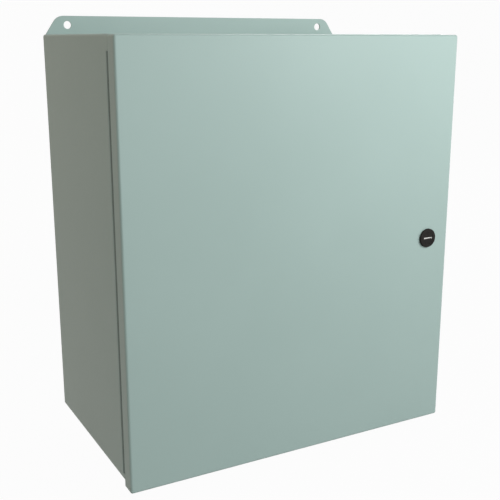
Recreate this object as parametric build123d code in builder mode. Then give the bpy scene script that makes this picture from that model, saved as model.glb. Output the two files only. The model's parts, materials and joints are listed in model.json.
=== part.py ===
from build123d import *
import os

os.makedirs("parts", exist_ok=True)

# Wall-mount sheet-steel cabinet, in millimetres.
# Origin: middle of the four wall holes, on the wall plane. +X right, +Y into the wall, +Z up.
# A depth is a distance from the wall plane towards the front, along -Y.

# Body
body_width = 355.6
body_height = 406.4
body_depth = 203.2
sheet = 1.9
body_corner_radius = 2.4
inner_corner_radius = 0.5

# Wall flanges above and below the back
flange_height = 18.6
flange_end_angle = 56.2
flange_corner_radius = 12.7
wall_hole_inset = 25.4
wall_hole_rise = 9.525
wall_hole_diameter = 7.94

# Lip round the mouth, and the strip seal that presses on it
lip_width = 7.4
lip_corner_radius = 3.0
seal_thickness = 6.2
seal_width = 5.5
seal_inset = 1.0
seal_corner_radius = 3.0

# Door
door_flange = 15.5
door_bend_radius = 2.4
door_overhang_right = 7.7
door_overhang_bottom = 6.6
door_set_down = 0.4
shoulder_gap = 0.4

# Continuous hinge
leaf_thickness = 0.7
leaf_gap = 0.3
pin_radius = 0.7
pin_clearance = 0.05
pin_end = 0.4
knuckle_radius = 1.4
knuckle_count = 15
knuckle_length = 25.7
knuckle_gap = 0.2
pin_from_flange = 2.3
trough_opening = 4.6
trough_end_clearance = 0.6
body_leaf_width = 4.6
door_leaf_width = 10.0

# Quarter-turn latch
latch_edge_distance = 27.3
latch_turn = 90.0
head_diameter = 20.0
head_thickness = 2.0
head_chamfer = 0.6
head_gasket_diameter = 19.0
head_gasket_thickness = 0.5
barrel_diameter = 14.0
barrel_flats = 12.4
barrel_clearance = 0.15
barrel_length = 9.4
latch_nut_flats = 17.0
latch_nut_thickness = 4.2
insert_diameter = 12.6
insert_clearance = 0.15
insert_face_thickness = 1.4
insert_setback = 0.3
shaft_diameter = 8.0
shaft_clearance = 0.05
slot_length = 10.8
slot_width = 1.6
slot_depth = 1.0
shaft_seal_section = 1.2
shaft_seal_depth = 3.0
square_drive = 5.6
square_clearance = 0.05
running_gap = 0.05
stop_washer_radius = 5.6
stop_washer_thickness = 1.0
stop_track_radius = 4.7
stop_lug_angle = 20.0
stop_lug_facing = 180.0
stop_lug_width = 1.2
stop_lug_height = 1.2
stop_clearance = 0.3
cam_thickness = 2.0
cam_width = 10.0
cam_reach = 12.8
cam_lead_in = 0.8
cam_washer_radius = 4.6
cam_washer_thickness = 1.0
cam_screw_radius = 2.0
cam_screw_length = 8.0
cam_screw_head_radius = 3.6
cam_screw_head_height = 2.6
cam_screw_socket_flats = 2.5
cam_screw_socket_depth = 1.4

# Inner panel on its collar studs
panel_side_gap = 14.2
panel_end_gap = 15.85
panel_thickness = 2.7
panel_corner_radius = 6.0
panel_hole_diameter = 7.6
panel_hole_inset = 6.35
stud_collar_radius = 6.4
stud_collar_height = 11.1
stud_free_length = 14.0

# Studs, nuts and washers of one thread size
stud_radius = 3.0
stud_tip_chamfer = 0.8
stud_weld_radius = 4.6
stud_weld_height = 0.8
washer_radius = 7.0
washer_thickness = 1.2
nut_flats = 10.0
nut_thickness = 5.2

# Bonding studs, one on the left wall and one on the door
bond_stud_length = 16.0
body_bond_depth = 95.0
body_bond_height = 26.0
door_bond_from_hinge = 32.0
door_bond_height = 34.0

# Depths of the main planes
door_back = body_depth + seal_thickness
door_front = door_back + sheet
flange_edge = door_front - door_flange
shoulder_front = flange_edge - shoulder_gap
trough_back = flange_edge - trough_opening

# Steps of the walls, inward from their outer faces
collar_step = sheet + 2 * leaf_thickness + leaf_gap
collar_width = body_width - 2 * collar_step
collar_height = body_height - 2 * collar_step
lip_step = collar_step + lip_width
seal_outer = collar_step + seal_inset
seal_inner = seal_outer + seal_width

# Hinge line
hinge_inset = sheet + leaf_thickness - knuckle_radius
hinge_x = -body_width / 2 + hinge_inset
hinge_depth = flange_edge - pin_from_flange
hinge_length = knuckle_count * knuckle_length
trough_half = hinge_length / 2 + trough_end_clearance

# Door outline
door_left = -body_width / 2
door_right = body_width / 2 + door_overhang_right
door_top = body_height / 2 - door_set_down
door_bottom = -body_height / 2 - door_overhang_bottom
door_width = door_right - door_left
door_height = door_top - door_bottom
door_middle = ((door_left + door_right) / 2, (door_top + door_bottom) / 2)
hinge_start = door_middle[1] - hinge_length / 2

# Latch centre and depths
latch_spot = (door_right - latch_edge_distance, door_middle[1])
head_back = door_front + head_gasket_thickness
head_front = head_back + head_thickness
insert_front = head_front - insert_setback
insert_back = insert_front - insert_face_thickness
insert_seat = insert_back - running_gap
barrel_end = door_front - barrel_length
stop_washer_front = barrel_end - running_gap
cam_front = stop_washer_front - stop_washer_thickness
cam_back = cam_front - cam_thickness
cam_washer_back = cam_back - cam_washer_thickness

# Wall hole spacings
wall_hole_spacing_x = body_width - 2 * wall_hole_inset
wall_hole_spacing_z = body_height + 2 * wall_hole_rise

# Panel outline, stud spacings and depths
panel_width = body_width - 2 * panel_side_gap
panel_height = body_height - 2 * panel_end_gap
panel_stud_spacing_x = panel_width - 2 * panel_hole_inset
panel_stud_spacing_z = panel_height - 2 * panel_hole_inset
panel_back = sheet + stud_collar_height
panel_front = panel_back + panel_thickness


def at_depth(depth):
    """A sketch plane that faces the front, at a depth from the wall."""
    return Plane.XZ.offset(depth)


def edges_at(part, depth):
    """The edges that lie in one plane facing the front."""
    return part.edges().filter_by_position(Axis.Y, -depth - 0.01, -depth + 0.01)


def save(part, name):
    """Label a finished piece and write it to its own file."""
    part.label = name
    export_step(part, "parts/" + name + ".step")


def body_ring(step, radius):
    """The body's outline, brought in by a step on all four sides."""
    return RectangleRounded(body_width - 2 * step, body_height - 2 * step, radius)


def door_outline(step, radius):
    """The door's outline, brought in by a step on all four sides."""
    with Locations(door_middle):
        RectangleRounded(door_width - 2 * step, door_height - 2 * step, radius)


def flat_washers(plane, spots):
    """Flat washers over studs at the given spots."""
    with BuildPart() as washers:
        with BuildSketch(plane):
            with Locations(*spots):
                Circle(washer_radius)
                Circle(stud_radius, mode=Mode.SUBTRACT)
        extrude(amount=washer_thickness)
    return washers.part


def nuts_at(plane, spots):
    """Hexagon nuts on studs at the given spots."""
    with BuildPart() as nuts:
        with BuildSketch(plane):
            with Locations(*spots):
                RegularPolygon(nut_flats / 2, 6, major_radius=False)
                Circle(stud_radius, mode=Mode.SUBTRACT)
        extrude(amount=nut_thickness)
    return nuts.part


def threaded_stud(foot_radius, foot_height, length):
    """One welded stud, from its foot to its chamfered tip."""
    with BuildPart() as stud:
        with BuildSketch():
            Circle(foot_radius)
        extrude(amount=foot_height)
        with BuildSketch():
            Circle(stud_radius)
        extrude(amount=length)
        chamfer(stud.faces().sort_by(Axis.Z)[-1].edges(), stud_tip_chamfer)
    return stud.part


def studs_at(plane, spots, foot_radius, foot_height, length):
    """Welded studs at the given spots."""
    with BuildPart(plane) as studs:
        with Locations(*spots):
            add(threaded_stud(foot_radius, foot_height, length))
    return studs.part


def hinge_leaf(first_knuckle, strip_inset, leaf_width, bore_radius, past_pin):
    """A strip along the collar or the flange, curled round the pin at every second knuckle.

    At a knuckle the strip runs back past the pin by the given length and turns out to the barrel.
    """
    strip_x = -body_width / 2 + strip_inset
    neck_width = strip_x + leaf_thickness - hinge_x
    with BuildPart() as leaf:
        with BuildSketch(Plane.XY.offset(hinge_start)):
            with Locations((strip_x, -flange_edge)):
                Rectangle(leaf_thickness, leaf_width, align=(Align.MIN, Align.MAX))
        extrude(amount=hinge_length)
        for index in range(first_knuckle, knuckle_count, 2):
            start = hinge_start + index * knuckle_length + knuckle_gap / 2
            with BuildSketch(Plane.XY.offset(start)):
                with Locations((strip_x, -flange_edge)):
                    Rectangle(leaf_thickness, pin_from_flange + past_pin, align=(Align.MIN, Align.MIN))
                with Locations((hinge_x, -hinge_depth + past_pin)):
                    Rectangle(neck_width, leaf_thickness, align=(Align.MIN, Align.MAX))
                with Locations((hinge_x, -hinge_depth)):
                    Circle(knuckle_radius)
                    Circle(bore_radius, mode=Mode.SUBTRACT)
            extrude(amount=knuckle_length - knuckle_gap)
    return leaf.part


# Body: four walls folded from one sheet, with a shoulder, a collar and a lip round the mouth
with BuildPart() as body_wrap:
    with BuildSketch(at_depth(sheet)):
        body_ring(0, body_corner_radius)
    extrude(amount=shoulder_front - sheet)
    with BuildSketch(at_depth(shoulder_front)):
        body_ring(collar_step, body_corner_radius)
    extrude(amount=body_depth - shoulder_front)
    fillet(edges_at(body_wrap, body_depth), body_corner_radius - 0.1)
    with BuildSketch(at_depth(sheet)):
        body_ring(sheet, inner_corner_radius)
    extrude(amount=shoulder_front - 2 * sheet, mode=Mode.SUBTRACT)
    with BuildSketch(at_depth(sheet)):
        body_ring(collar_step + sheet, inner_corner_radius)
    extrude(amount=body_depth - 2 * sheet, mode=Mode.SUBTRACT)
    with BuildSketch(at_depth(sheet)):
        body_ring(lip_step, lip_corner_radius)
    extrude(amount=body_depth, mode=Mode.SUBTRACT)

    # Trough pressed into the left wall for the hinge barrel
    with BuildSketch(at_depth(trough_back - sheet)):
        with Locations((-body_width / 2, door_middle[1])):
            Rectangle(collar_step + sheet, 2 * (trough_half + sheet), align=(Align.MIN, Align.CENTER))
    extrude(amount=shoulder_front - trough_back + sheet)
    with BuildSketch(at_depth(trough_back)):
        with Locations((-body_width / 2, door_middle[1])):
            Rectangle(collar_step, 2 * trough_half, align=(Align.MIN, Align.CENTER))
    extrude(amount=shoulder_front - trough_back, mode=Mode.SUBTRACT)
save(body_wrap.part, "body_wrap")

# Wall flange: one end of the back sheet, its corners rounded
with BuildSketch() as wall_flange:
    Trapezoid(
        body_width - 2 * body_corner_radius,
        flange_height,
        flange_end_angle,
        align=(Align.CENTER, Align.MIN),
    )
    fillet(wall_flange.vertices().group_by(Axis.Y)[-1], flange_corner_radius)

# Back: one flat sheet that ends in a wall flange above and below the walls
with BuildPart() as back_panel:
    with BuildSketch(at_depth(0)):
        body_ring(0, body_corner_radius)
        with Locations((0, body_height / 2)):
            add(wall_flange.sketch)
        with Locations((0, -body_height / 2)):
            add(wall_flange.sketch, rotation=180)
        with GridLocations(wall_hole_spacing_x, wall_hole_spacing_z, 2, 2):
            Circle(wall_hole_diameter / 2, mode=Mode.SUBTRACT)
    extrude(amount=sheet)
save(back_panel.part, "back_panel")

# Door: a tray with flanges folded back on all four sides
with BuildPart() as door_panel:
    with BuildSketch(at_depth(flange_edge)):
        with Locations(door_middle):
            Rectangle(door_width, door_height)
    extrude(amount=door_flange)
    bends = door_panel.edges() - edges_at(door_panel, flange_edge)
    fillet(bends, door_bend_radius)
    with BuildSketch(at_depth(flange_edge)):
        door_outline(sheet, door_bend_radius - sheet)
    extrude(amount=door_flange - sheet, mode=Mode.SUBTRACT)
    with BuildSketch(at_depth(door_back)):
        with Locations(latch_spot):
            Circle(barrel_diameter / 2 + barrel_clearance)
            Rectangle(
                barrel_diameter + 1,
                barrel_flats + 2 * barrel_clearance,
                mode=Mode.INTERSECT,
            )
    extrude(amount=sheet, mode=Mode.SUBTRACT)
save(door_panel.part, "door_panel")

# Continuous hinge: both leaves run forward from the barrel, one on the collar, one in the door's flange
body_leaf = hinge_leaf(0, collar_step - leaf_thickness, body_leaf_width, pin_radius, knuckle_radius)
save(body_leaf, "hinge_body_leaf")
door_leaf = hinge_leaf(1, sheet, door_leaf_width, pin_radius + pin_clearance, 0)
save(door_leaf, "hinge_door_leaf")

with BuildPart() as hinge_pin:
    with BuildSketch(Plane.XY.offset(hinge_start - pin_end)):
        with Locations((hinge_x, -hinge_depth)):
            Circle(pin_radius)
    extrude(amount=hinge_length + 2 * pin_end)
save(hinge_pin.part, "hinge_pin")

# Strip seal glued inside the door
with BuildPart() as door_seal:
    with BuildSketch(at_depth(body_depth)):
        body_ring(seal_outer, seal_corner_radius)
        RectangleRounded(
            body_width - 2 * seal_inner,
            body_height - 2 * seal_inner,
            seal_corner_radius,
            mode=Mode.SUBTRACT,
        )
    extrude(amount=seal_thickness)
save(door_seal.part, "door_seal")

# Tracks of the latch's stop: the slot is a quarter turn longer than the lug
stop_lug_start = stop_lug_facing + (latch_turn - stop_lug_angle) / 2
stop_lug_arc = CenterArc((0, 0), stop_track_radius, stop_lug_start, stop_lug_angle)
stop_slot_arc = CenterArc(
    (0, 0),
    stop_track_radius,
    stop_lug_start - latch_turn,
    stop_lug_angle + latch_turn,
)

# Latch housing: a round head and a barrel with two flats
with BuildPart() as latch_housing:
    with BuildSketch(at_depth(head_back)):
        with Locations(latch_spot):
            Circle(head_diameter / 2)
    extrude(amount=head_thickness)
    chamfer(edges_at(latch_housing, head_front), head_chamfer)
    with BuildSketch(at_depth(barrel_end)):
        with Locations(latch_spot):
            Circle(barrel_diameter / 2)
            Rectangle(barrel_diameter + 1, barrel_flats, mode=Mode.INTERSECT)
    extrude(amount=head_back - barrel_end)
    with BuildSketch(at_depth(barrel_end)):
        with Locations(latch_spot):
            Circle(shaft_diameter / 2 + shaft_clearance)
    extrude(amount=head_front - barrel_end, mode=Mode.SUBTRACT)
    with BuildSketch(at_depth(insert_seat)):
        with Locations(latch_spot):
            Circle(insert_diameter / 2 + insert_clearance)
    extrude(amount=head_front - insert_seat, mode=Mode.SUBTRACT)

    # Stop slot in the rear of the barrel
    with BuildSketch(at_depth(barrel_end)):
        with Locations(latch_spot):
            SlotArc(stop_slot_arc, stop_lug_width + 2 * stop_clearance)
    extrude(amount=stop_lug_height + stop_clearance, mode=Mode.SUBTRACT)
save(latch_housing.part, "latch_housing")

with BuildPart() as latch_gasket:
    with BuildSketch(at_depth(door_front)):
        with Locations(latch_spot):
            Circle(head_gasket_diameter / 2)
            Circle(barrel_diameter / 2, mode=Mode.SUBTRACT)
    extrude(amount=head_gasket_thickness)
save(latch_gasket.part, "latch_gasket")

with BuildPart() as latch_nut:
    with BuildSketch(at_depth(door_back - latch_nut_thickness)):
        with Locations(latch_spot):
            RegularPolygon(latch_nut_flats / 2, 6, major_radius=False, rotation=30)
            Circle(barrel_diameter / 2, mode=Mode.SUBTRACT)
    extrude(amount=latch_nut_thickness)
save(latch_nut.part, "latch_nut")

# Insert: the slotted face, the round shaft and the square end that drives the cam
with BuildPart() as latch_insert:
    with BuildSketch(at_depth(insert_back)):
        with Locations(latch_spot):
            Circle(insert_diameter / 2)
    extrude(amount=insert_face_thickness)
    with BuildSketch(at_depth(insert_front - slot_depth)):
        with Locations(latch_spot):
            SlotOverall(slot_length, slot_width)
    extrude(amount=slot_depth, mode=Mode.SUBTRACT)
    with BuildSketch(at_depth(barrel_end)):
        with Locations(latch_spot):
            Circle(shaft_diameter / 2)
    extrude(amount=insert_back - barrel_end)
    with BuildSketch(at_depth(cam_back)):
        with Locations(latch_spot):
            Rectangle(square_drive, square_drive)
    extrude(amount=barrel_end - cam_back)
    with BuildSketch(at_depth(insert_back - shaft_seal_depth)):
        with Locations(latch_spot):
            Circle(shaft_diameter / 2)
            Circle(shaft_diameter / 2 - shaft_seal_section, mode=Mode.SUBTRACT)
    extrude(amount=shaft_seal_section, mode=Mode.SUBTRACT)
    with BuildSketch(at_depth(cam_back)):
        with Locations(latch_spot):
            Circle(cam_screw_radius)
    extrude(amount=cam_screw_length - cam_washer_thickness, mode=Mode.SUBTRACT)
save(latch_insert.part, "latch_insert")

with BuildPart() as shaft_seal:
    with BuildSketch(at_depth(insert_back - shaft_seal_depth)):
        with Locations(latch_spot):
            Circle(shaft_diameter / 2)
            Circle(shaft_diameter / 2 - shaft_seal_section, mode=Mode.SUBTRACT)
    extrude(amount=shaft_seal_section)
save(shaft_seal.part, "shaft_seal")

# Stop washer: its lug runs in the housing's stop slot
with BuildPart() as stop_washer:
    with BuildSketch(at_depth(cam_front)):
        with Locations(latch_spot):
            Circle(stop_washer_radius)
            Rectangle(
                square_drive + 2 * square_clearance,
                square_drive + 2 * square_clearance,
                mode=Mode.SUBTRACT,
            )
    extrude(amount=stop_washer_thickness)
    with BuildSketch(at_depth(stop_washer_front)):
        with Locations(latch_spot):
            SlotArc(stop_lug_arc, stop_lug_width)
    extrude(amount=stop_lug_height)
save(stop_washer.part, "stop_washer")

# Cam: points up when free, and swings behind the lip on the right
with BuildPart() as latch_cam:
    with BuildSketch(at_depth(cam_back)):
        with Locations(latch_spot):
            Circle(cam_reach)
            Rectangle(cam_width, cam_reach, align=(Align.CENTER, Align.MIN), mode=Mode.INTERSECT)
            Circle(cam_width / 2)
            Rectangle(
                square_drive + 2 * square_clearance,
                square_drive + 2 * square_clearance,
                mode=Mode.SUBTRACT,
            )
    extrude(amount=cam_thickness)
    tip_edge = edges_at(latch_cam, cam_front).sort_by(Axis.Z)[-1]
    chamfer(tip_edge, cam_lead_in)
save(latch_cam.part, "latch_cam")

with BuildPart() as cam_washer:
    with BuildSketch(at_depth(cam_washer_back)):
        with Locations(latch_spot):
            Circle(cam_washer_radius)
            Circle(cam_screw_radius, mode=Mode.SUBTRACT)
    extrude(amount=cam_washer_thickness)
save(cam_washer.part, "cam_washer")

with BuildPart() as cam_screw:
    with BuildSketch(at_depth(cam_washer_back - cam_screw_head_height)):
        with Locations(latch_spot):
            Circle(cam_screw_head_radius)
    extrude(amount=cam_screw_head_height)
    with BuildSketch(at_depth(cam_washer_back)):
        with Locations(latch_spot):
            Circle(cam_screw_radius)
    extrude(amount=cam_screw_length)
    with BuildSketch(at_depth(cam_washer_back - cam_screw_head_height)):
        with Locations(latch_spot):
            RegularPolygon(cam_screw_socket_flats / 2, 6, major_radius=False)
    extrude(amount=cam_screw_socket_depth, mode=Mode.SUBTRACT)
save(cam_screw.part, "cam_screw")

# Inner panel, bolted to four collar studs welded to the back
stud_grid = GridLocations(panel_stud_spacing_x, panel_stud_spacing_z, 2, 2)
stud_spots = [place.position for place in stud_grid.locations]
with BuildPart() as inner_panel:
    with BuildSketch(at_depth(panel_back)):
        RectangleRounded(panel_width, panel_height, panel_corner_radius)
        with Locations(*stud_spots):
            Circle(panel_hole_diameter / 2, mode=Mode.SUBTRACT)
    extrude(amount=panel_thickness)
save(inner_panel.part, "inner_panel")

panel_studs = studs_at(
    at_depth(sheet),
    stud_spots,
    stud_collar_radius,
    stud_collar_height,
    stud_collar_height + stud_free_length,
)
save(panel_studs, "panel_studs")
save(flat_washers(at_depth(panel_front), stud_spots), "panel_washers")
save(nuts_at(at_depth(panel_front + washer_thickness), stud_spots), "panel_nuts")

# Bonding studs with their washers and nuts
left_wall = Plane.YZ.offset(-body_width / 2 + sheet)
door_inside = Plane(origin=(0, -door_back, 0), x_dir=(1, 0, 0), z_dir=(0, 1, 0))
bond_places = {
    "body_bond": (left_wall, (-body_bond_depth, -body_height / 2 + body_bond_height)),
    "door_bond": (door_inside, (door_left + door_bond_from_hinge, -door_bottom - door_bond_height)),
}
for name, (plane, spot) in bond_places.items():
    washer_plane = plane.offset(stud_weld_height)
    nut_plane = washer_plane.offset(washer_thickness)
    save(studs_at(plane, [spot], stud_weld_radius, stud_weld_height, bond_stud_length), name + "_stud")
    save(flat_washers(washer_plane, [spot]), name + "_washer")
    save(nuts_at(nut_plane, [spot]), name + "_nut")
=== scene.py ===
# %% [markdown]
# # A wall cabinet in folded, powder-coated steel
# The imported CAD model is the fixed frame: it gives every size and place. This lesson dresses it
# with what makes folded steel look real: truly round bends, rolled hinge leaves, cut threads, a
# poured foam seal, and the fine orange peel of a powder coat. Each new shape is worked out as an
# array of numbers.

import json
import math

import bmesh
import bpy
import numpy as np
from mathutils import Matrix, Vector
from mathutils.geometry import tessellate_polygon

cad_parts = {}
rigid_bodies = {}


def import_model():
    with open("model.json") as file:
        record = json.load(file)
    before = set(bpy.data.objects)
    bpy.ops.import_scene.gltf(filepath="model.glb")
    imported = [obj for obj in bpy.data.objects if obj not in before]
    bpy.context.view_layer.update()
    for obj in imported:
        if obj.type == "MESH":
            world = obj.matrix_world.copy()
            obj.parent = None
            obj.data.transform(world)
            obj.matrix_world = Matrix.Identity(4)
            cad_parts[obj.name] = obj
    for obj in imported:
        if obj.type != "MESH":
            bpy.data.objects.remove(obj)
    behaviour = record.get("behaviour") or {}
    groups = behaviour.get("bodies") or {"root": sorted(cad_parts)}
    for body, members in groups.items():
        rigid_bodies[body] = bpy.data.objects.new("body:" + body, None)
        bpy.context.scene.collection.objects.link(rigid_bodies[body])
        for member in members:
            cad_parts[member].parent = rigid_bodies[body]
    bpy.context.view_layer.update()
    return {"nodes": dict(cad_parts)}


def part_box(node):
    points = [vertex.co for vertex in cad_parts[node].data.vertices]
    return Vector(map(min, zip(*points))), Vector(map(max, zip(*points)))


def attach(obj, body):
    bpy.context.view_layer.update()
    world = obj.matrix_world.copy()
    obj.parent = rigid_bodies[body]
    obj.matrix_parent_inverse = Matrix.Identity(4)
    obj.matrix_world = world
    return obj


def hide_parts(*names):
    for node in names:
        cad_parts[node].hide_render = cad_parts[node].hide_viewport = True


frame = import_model()
nodes = frame["nodes"]
MM = 0.001


# %% [markdown]
# ## Measures
# A depth is a distance out from the wall, which is along -Y. Typed places would hold only until
# one of them changed, so they are read from the boxes of the frame's own nodes. What a box can't
# tell is written down, such as a bend's radius. Lengths are in millimetres until a mesh is made.

# %% Read the main places from the frame
def node_box(name):
    """Lowest and highest corner of a node, in millimetres."""
    low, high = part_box(name)
    return np.array(low) / MM, np.array(high) / MM


wrap_low, wrap_high = node_box("body_wrap")
door_low, door_high = node_box("door_panel")
back_low, back_high = node_box("back_panel")
BODY_HALF = (wrap_high - wrap_low)[[0, 2]] / 2
BODY_DEPTH = -wrap_low[1]
SHEET = -back_low[1]
DOOR_CENTRE = ((door_low + door_high) / 2)[[0, 2]]
DOOR_HALF = (door_high - door_low)[[0, 2]] / 2
DOOR_FRONT = -door_low[1]
DOOR_BACK = DOOR_FRONT - SHEET
FLANGE_EDGE = -door_high[1]
BODY_RADIUS, DOOR_BEND, EDGE = 2.4, 2.4, 0.3
print("body half sizes", BODY_HALF, "door half sizes", DOOR_HALF, "door front", DOOR_FRONT)


# %% [markdown]
# ## From arrays to a mesh
# A swept shape is a grid: one row for each point of the profile, one column for each station of
# the path. One helper joins the grid with quads, another turns the arrays into a finished piece.
# Doubles are merged first, so that corners and poles close, and then the normals are set outwards.
# Operators could add face after face instead, but whole arrays are shorter and exact.

# %% Grid helpers
def grid_quads(rows, cols, wrap_rows=False, wrap_cols=True):
    """Quads between neighbours of a grid: (r, c), (r, c+1), (r+1, c+1), (r+1, c)."""
    r = np.arange(rows if wrap_rows else rows - 1)[:, None]
    c = np.arange(cols if wrap_cols else cols - 1)[None, :]
    below, beside = (r + 1) % rows, (c + 1) % cols
    corners = [r * cols + c, r * cols + beside, below * cols + beside, below * cols + c]
    return np.stack(np.broadcast_arrays(*corners), -1).reshape(-1, 4)


def closed_grid(x, depth, z):
    """Points (x, -depth, z) and their quads, with the last row joined to the first."""
    points = np.stack([x, -np.broadcast_to(depth, x.shape), z], -1).reshape(-1, 3)
    return points, grid_quads(*x.shape, wrap_rows=True)


def full_turn(count):
    """Angles spread evenly round a circle."""
    return np.linspace(0, 2 * np.pi, count, endpoint=False)


def stack_parts(parts):
    """Joins (points, faces) pairs into one pair, moving each part's face numbers up."""
    starts = np.cumsum([0] + [len(points) for points, _ in parts])
    points = np.concatenate([points for points, _ in parts])
    faces = [face for start, (_, some) in zip(starts, parts) for face in (some + start).tolist()]
    return points, faces


# %% Turn arrays into a piece of the model
MERGE_METRES, SLIVER_METRES = 1e-6, 1e-7


def make_piece(name, parts, body, stands_for=(), sharp_angle=28.0):
    """A closed, smooth-shaded mesh from (points in mm, faces) pairs, riding on a body."""
    points, faces = stack_parts(parts)
    mesh = bpy.data.meshes.new(name)
    mesh.from_pydata((points * MM).tolist(), [], faces)
    bm = bmesh.new()
    bm.from_mesh(mesh)
    bmesh.ops.remove_doubles(bm, verts=bm.verts, dist=MERGE_METRES)
    bmesh.ops.dissolve_degenerate(bm, edges=bm.edges, dist=SLIVER_METRES)
    bmesh.ops.recalc_face_normals(bm, faces=bm.faces)
    open_edges = sum(not edge.is_manifold for edge in bm.edges)
    bm.to_mesh(mesh)
    bm.free()
    mesh.shade_smooth()
    mesh.set_sharp_from_angle(angle=math.radians(sharp_angle))
    piece = bpy.data.objects.new(name, mesh)
    bpy.context.scene.collection.objects.link(piece)
    weighted = piece.modifiers.new("weighted normals", "WEIGHTED_NORMAL")
    weighted.keep_sharp = True
    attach(piece, body)
    if stands_for:
        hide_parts(*stands_for)
    print(name, len(mesh.polygons), "faces", open_edges, "open edges")
    return piece


# %% [markdown]
# ## A rounded rectangle as stations
# Folded boxes follow a rounded rectangle. Each station is six numbers: the side or corner it
# belongs to, the direction that it faces, and a shift along a side. With them, one formula gives
# the outline at any step inwards and any corner radius. A Bevel modifier on a box could not give
# the inside of a bend its own, smaller radius.

# %% Stations round a rectangle
CORNER_STEPS, OUTER_STEPS, EDGE_STEPS = 6, 8, 3


def corner_stations():
    """Quarter turns at the four corners: signs, then the cosine and sine of each angle."""
    quarter = np.linspace(0, np.pi / 2, CORNER_STEPS + 1)
    angle = (np.arange(4)[:, None] * np.pi / 2 + quarter).ravel()
    sign_x = np.repeat([1, -1, -1, 1], CORNER_STEPS + 1)
    sign_z = np.repeat([1, 1, -1, -1], CORNER_STEPS + 1)
    zero = np.zeros_like(angle)
    return np.stack([sign_x, sign_z, np.cos(angle), np.sin(angle), zero, zero], -1)


def side_stations(points, half):
    """Stations on the straight sides, from points that lie on the outline."""
    on_x = np.abs(points[:, 0]) / half[0] > np.abs(points[:, 1]) / half[1]
    side_x = np.where(on_x, np.sign(points[:, 0]), 0)
    side_z = np.where(on_x, 0, np.sign(points[:, 1]))
    shift_x, shift_z = np.where(on_x, 0, points[:, 0]), np.where(on_x, points[:, 1], 0)
    return np.stack([side_x, side_z, side_x, side_z, shift_x, shift_z], -1)


# %% Outlines and arcs
def outline(stations, half, step, radius):
    """Sign times (half size - step - radius), plus radius times the direction, plus the shift."""
    step, radius = np.asarray(step)[..., None], np.asarray(radius)[..., None]
    x = stations[:, 0] * (half[0] - step - radius) + radius * stations[:, 2] + stations[:, 4]
    z = stations[:, 1] * (half[1] - step - radius) + radius * stations[:, 3] + stations[:, 5]
    return x, z


def in_order(stations, half, radius, centre=(0.0, 0.0)):
    """Stations sorted by their angle as seen from a point inside the outline."""
    x, z = outline(stations, half, 0.0, radius)
    return stations[np.argsort(np.arctan2(z - centre[1], x - centre[0]), kind="stable")]


def arc(middle_depth, middle_step, radius, start, end, count=CORNER_STEPS):
    """Middle plus radius times (cosine, sine); 0 degrees faces the front, 90 faces inwards."""
    turn = np.radians(np.linspace(start, end, count + 1))
    return np.stack([middle_depth + radius * np.cos(turn), middle_step + radius * np.sin(turn)], -1)


# %% [markdown]
# ## The door
# A press brake folds the door from one sheet: the outside of each bend has a radius of 2.4 mm,
# and the inside is sheet thickness less. The profile goes from the latch hole over the front, round
# the bend, down the flange, round the sheet's cut edge and back up inside. A Boolean modifier
# could cut the hole, but leaves long thin faces that shade badly. Here the sheet ends at the hole,
# and its stations are spread evenly as seen from the latch, so that it can't cross itself.

# %% Stations of the door, seen from the latch
head_low, head_high = node_box("latch_housing")
LATCH = ((head_low + head_high) / 2)[[0, 2]]
DOOR_RAYS, RAY_TURN, CORNER_CLEARANCE = 96, 0.01, 5.0


def ray_hits(half, seen_from):
    """Where evenly spread rays leave a centred rectangle: the nearer of the two sides ahead."""
    angle = full_turn(DOOR_RAYS) + RAY_TURN
    ray = np.stack([np.cos(angle), np.sin(angle)], -1)
    reach = ((np.sign(ray) * half - seen_from) / ray).min(axis=1)
    return seen_from + reach[:, None] * ray


def clear_of_corners(points, half, margin):
    """Only the points that stay a margin away from the rectangle's corners."""
    near = (half[0] - np.abs(points[:, 0]) < margin) & (half[1] - np.abs(points[:, 1]) < margin)
    return points[~near]


latch_in_door = LATCH - DOOR_CENTRE
hits = clear_of_corners(ray_hits(DOOR_HALF, latch_in_door), DOOR_HALF, CORNER_CLEARANCE)
door_stations = np.concatenate([corner_stations(), side_stations(hits, DOOR_HALF)])
door_stations = in_order(door_stations, DOOR_HALF, DOOR_BEND, latch_in_door)
print("door:", len(door_stations), "stations seen from", latch_in_door)

# %% Door sheet with its latch hole
HOLE_ROUND, HOLE_FLAT, TINY = 7.15, 6.35, 1e-6


def with_flats(radius, flat, angle):
    """The radius, or the flat's distance over the sine of the angle where that is less."""
    return np.minimum(radius, flat / np.maximum(np.abs(np.sin(angle)), TINY))


cut_end, bend_depth = FLANGE_EDGE + EDGE, DOOR_FRONT - DOOR_BEND
door_profile = np.concatenate([
    arc(bend_depth, DOOR_BEND, DOOR_BEND, 0, -90, OUTER_STEPS),
    arc(cut_end, EDGE, EDGE, -90, -180, EDGE_STEPS),
    arc(cut_end, SHEET - EDGE, EDGE, 180, 90, EDGE_STEPS),
    arc(bend_depth, DOOR_BEND, DOOR_BEND - SHEET, -90, 0),
])
corner_radius = np.clip(DOOR_BEND - door_profile[:, 1], 0, None)
door_x, door_z = outline(door_stations, DOOR_HALF, door_profile[:, 1], corner_radius)
toward = np.arctan2(door_z[0] - latch_in_door[1], door_x[0] - latch_in_door[0])
hole_radius = with_flats(HOLE_ROUND, HOLE_FLAT, toward)
hole_x = latch_in_door[0] + hole_radius * np.cos(toward)
hole_z = latch_in_door[1] + hole_radius * np.sin(toward)
door_x = np.concatenate([door_x, [hole_x, hole_x]]) + DOOR_CENTRE[0]
door_z = np.concatenate([door_z, [hole_z, hole_z]]) + DOOR_CENTRE[1]
door_depth = np.concatenate([door_profile[:, 0], [DOOR_BACK, DOOR_FRONT]])
door_sheet = make_piece(
    "door_sheet", [closed_grid(door_x, door_depth[:, None], door_z)],
    "door", ["door_panel"])


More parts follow.
